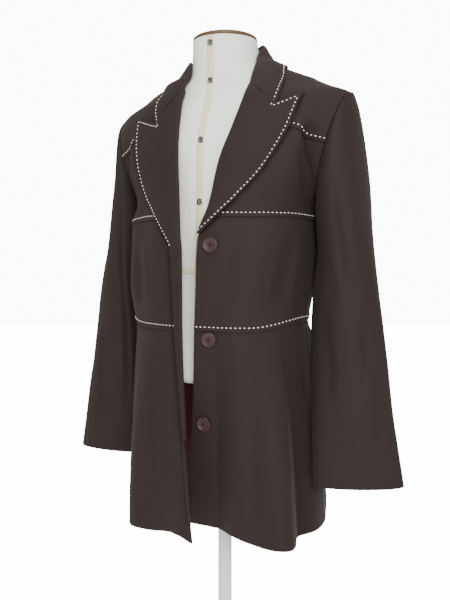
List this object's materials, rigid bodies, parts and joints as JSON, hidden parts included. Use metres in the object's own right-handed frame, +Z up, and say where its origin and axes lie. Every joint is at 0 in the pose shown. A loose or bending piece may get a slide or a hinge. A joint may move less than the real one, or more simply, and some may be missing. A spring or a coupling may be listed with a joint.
{
  "type": "blazer on a dress form",
  "caption": "Long dark brown blazer with peak lapels and pale saddle stitching, worn open on a dress form with a pole and round base.",
  "frame": {"origin": "centre of the base's underside, on the floor under the pole", "axes": "+Z up along the pole, the blazer's front faces -Y, the wearer's left is +X"},
  "size_m": [0.5957, 0.34, 1.4523],
  "materials": {
    "suiting": "matt twill suiting, dark brown",
    "lining": "satin lining, burgundy",
    "button": "satin red-brown resin",
    "linen": "plain linen cover",
    "wood": "oiled",
    "steel": "satin",
    "paint": "white powder coat"
  },
  "bodies": {
    "root": {"front_skirt_left": "suiting", "side_skirt_left": "suiting", "front_midriff_left": "suiting", "front_chest_left": "suiting", "front_yoke_left": "suiting", "back_left": "suiting", "back_skirt_left": "suiting", "lining_left": "lining", "lapel_left": "suiting", "sleeve_top_left": "suiting", "sleeve_under_left": "suiting", "front_skirt_right": "suiting", "side_skirt_right": "suiting", "front_midriff_right": "suiting", "front_chest_right": "suiting", "front_yoke_right": "suiting", "back_right": "suiting", "back_skirt_right": "suiting", "lining_right": "lining", "lapel_right": "suiting", "sleeve_top_right": "suiting", "sleeve_under_right": "suiting", "collar": "suiting", "button_top": "button", "button_middle": "button", "button_bottom": "button", "form_body": "linen", "neck_cap": "wood", "pole": "paint", "pole_socket": "paint", "base": "paint", "stud_1": "steel", "stud_2": "steel", "stud_3": "steel", "stud_4": "steel"}
  },
  "joints": []
}
